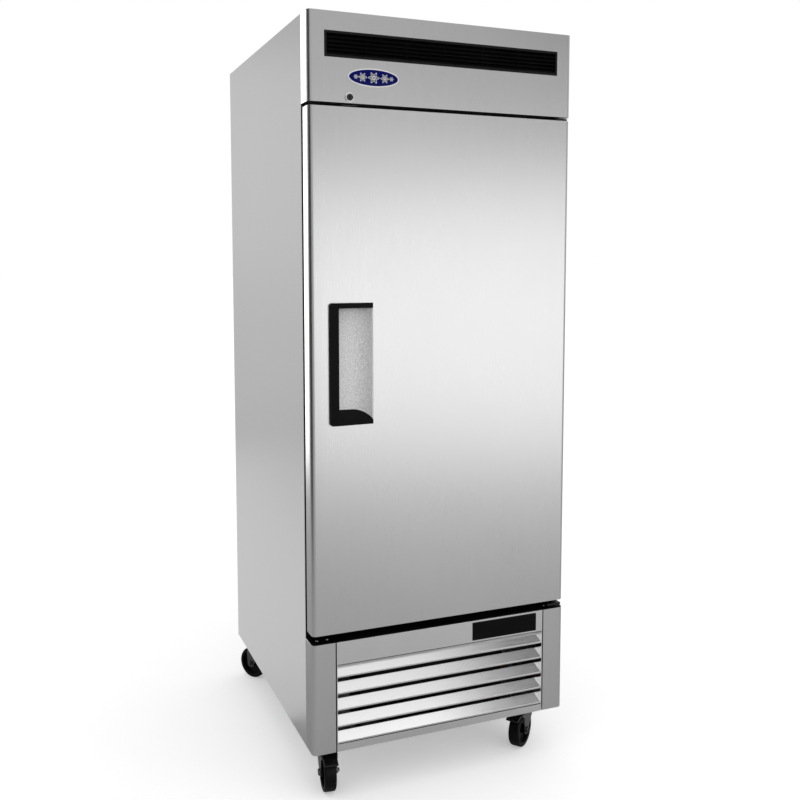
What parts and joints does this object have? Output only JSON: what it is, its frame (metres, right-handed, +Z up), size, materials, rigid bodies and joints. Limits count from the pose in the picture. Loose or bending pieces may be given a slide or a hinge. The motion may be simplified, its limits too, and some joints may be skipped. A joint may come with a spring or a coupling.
{
  "type": "reach in refrigerator",
  "caption": "One-section stainless reach-in refrigerator with a hinged solid door, recessed pull handle, louvered base, wire shelves and swivel casters.",
  "frame": {"origin": "on the floor under the middle of the whole object's bounding box", "axes": "+Z up; the door and its handle face -Y; +X is to the right seen from the front, where the hinges are"},
  "size_m": [0.73, 0.868, 1.98],
  "materials": {
    "cabinet_steel": "satin",
    "front_steel": "satin",
    "louver_steel": "satin",
    "galvanised_steel": "satin",
    "dark_steel": "matte",
    "hinge_steel": "satin",
    "caster_zinc": "satin",
    "bright_chrome": "polished",
    "shelf_wire": "satin",
    "liner_aluminium": "satin",
    "fin_aluminium": "satin",
    "copper": "satin",
    "foam": "matte",
    "grey_plastic": "matte",
    "scoop_grey": "satin",
    "black_plastic": "matte",
    "gloss_black": "gloss",
    "badge_blue": "gloss",
    "gasket_rubber": "matte",
    "wheel_rubber": "matte",
    "lamp_glass": "gloss"
  },
  "bodies": {
    "cabinet": {"side_panel_left": "cabinet_steel", "side_panel_right": "cabinet_steel", "top_panel": "cabinet_steel", "rear_panel": "galvanised_steel", "rear_grille": "galvanised_steel", "machine_deck": "galvanised_steel", "base_pan": "galvanised_steel", "condenser_shroud": "galvanised_steel", "condensate_pan": "galvanised_steel", "cabinet_foam": "foam", "inner_liner": "liner_aluminium", "evaporator_cover": "liner_aluminium", "face_frame": "dark_steel", "breaker_frame": "grey_plastic", "header_panel": "front_steel", "base_post_left": "front_steel", "base_post_right": "front_steel", "louver_panel": "louver_steel", "base_sill": "black_plastic", "header_grille": "black_plastic", "controller_case": "gloss_black", "badge_plate": "badge_blue", "lock_body": "bright_chrome", "condenser_coil": "fin_aluminium", "evaporator_coil": "fin_aluminium", "condenser_fan_motor": "dark_steel", "evaporator_fan_motor": "dark_steel", "compressor": "dark_steel", "cord_gland": "black_plastic", "refrigerant_lines": "copper", "interior_light": "lamp_glass", "shelf_pilasters": "bright_chrome", "shelf_clips": "bright_chrome", "shelf_low": "shelf_wire", "shelf_middle": "shelf_wire", "shelf_high": "shelf_wire", "hinge_bracket_top": "hinge_steel", "hinge_bracket_bottom": "hinge_steel", "caster_plates": "caster_zinc", "caster_bolts": "caster_zinc"},
    "door": {"door_skin": "front_steel", "door_foam": "foam", "door_liner": "liner_aluminium", "door_gasket": "gasket_rubber", "handle_bezel": "black_plastic", "handle_cup": "scoop_grey", "hinge_bushes": "grey_plastic"},
    "lock_plug": {"lock_plug": "bright_chrome"},
    "condenser_fan": {"condenser_fan_blade": "black_plastic"},
    "evaporator_fan": {"evaporator_fan_blade": "black_plastic"},
    "caster_front_left": {"caster_fork_front_left": "caster_zinc"},
    "wheel_front_left": {"caster_wheel_front_left": "wheel_rubber"},
    "pedal_front_left": {"brake_pedal_front_left": "black_plastic"},
    "caster_front_right": {"caster_fork_front_right": "caster_zinc"},
    "wheel_front_right": {"caster_wheel_front_right": "wheel_rubber"},
    "pedal_front_right": {"brake_pedal_front_right": "black_plastic"},
    "caster_rear_left": {"caster_fork_rear_left": "caster_zinc"},
    "wheel_rear_left": {"caster_wheel_rear_left": "wheel_rubber"},
    "caster_rear_right": {"caster_fork_rear_right": "caster_zinc"},
    "wheel_rear_right": {"caster_wheel_rear_right": "wheel_rubber"}
  },
  "joints": [
    {"name": "door_hinge", "type": "hinge", "parent": "cabinet", "child": "door", "pos_m": [0.346, -0.402, 1], "axis": [0, 0, 1], "range_deg": [0, 120]},
    {"name": "lock_turn", "type": "hinge", "parent": "cabinet", "child": "lock_plug", "pos_m": [-0.259, -0.426, 1.779], "axis": [0, 1, 0], "range_deg": [0, 90]},
    {"name": "condenser_fan_spin", "type": "hinge", "parent": "cabinet", "child": "condenser_fan", "pos_m": [0, -0.25, 0.26], "axis": [0, 1, 0], "continuous": true},
    {"name": "evaporator_fan_spin", "type": "hinge", "parent": "cabinet", "child": "evaporator_fan", "pos_m": [0, -0.16, 1.842], "axis": [0, 1, 0], "continuous": true},
    {"name": "swivel_front_left", "type": "hinge", "parent": "cabinet", "child": "caster_front_left", "pos_m": [-0.302, -0.331, 0.115], "axis": [0, 0, 1], "continuous": true},
    {"name": "roll_front_left", "type": "hinge", "parent": "caster_front_left", "child": "wheel_front_left", "pos_m": [-0.30687, -0.36566, 0.05], "axis": [0.9903, -0.1392, 0], "continuous": true},
    {"name": "brake_front_left", "type": "hinge", "parent": "caster_front_left", "child": "pedal_front_left", "pos_m": [-0.30993, -0.38745, 0.104], "axis": [0.9903, -0.1392, 0], "range_deg": [0, 15]},
    {"name": "swivel_front_right", "type": "hinge", "parent": "cabinet", "child": "caster_front_right", "pos_m": [0.302, -0.331, 0.115], "axis": [0, 0, 1], "continuous": true},
    {"name": "roll_front_right", "type": "hinge", "parent": "caster_front_right", "child": "wheel_front_right", "pos_m": [0.27442, -0.35255, 0.05], "axis": [0.6157, -0.788, 0], "continuous": true},
    {"name": "brake_front_right", "type": "hinge", "parent": "caster_front_right", "child": "pedal_front_right", "pos_m": [0.25708, -0.36609, 0.104], "axis": [0.6157, -0.788, 0], "range_deg": [0, 15]},
    {"name": "swivel_rear_left", "type": "hinge", "parent": "cabinet", "child": "caster_rear_left", "pos_m": [-0.302, 0.352, 0.115], "axis": [0, 0, 1], "continuous": true},
    {"name": "roll_rear_left", "type": "hinge", "parent": "caster_rear_left", "child": "wheel_rear_left", "pos_m": [-0.32208, 0.38067, 0.05], "axis": [-0.8192, -0.5736, 0], "continuous": true},
    {"name": "swivel_rear_right", "type": "hinge", "parent": "cabinet", "child": "caster_rear_right", "pos_m": [0.302, 0.352, 0.115], "axis": [0, 0, 1], "continuous": true},
    {"name": "roll_rear_right", "type": "hinge", "parent": "caster_rear_right", "child": "wheel_rear_right", "pos_m": [0.27028, 0.33721, 0.05], "axis": [0.4226, -0.9063, 0], "continuous": true}
  ]
}
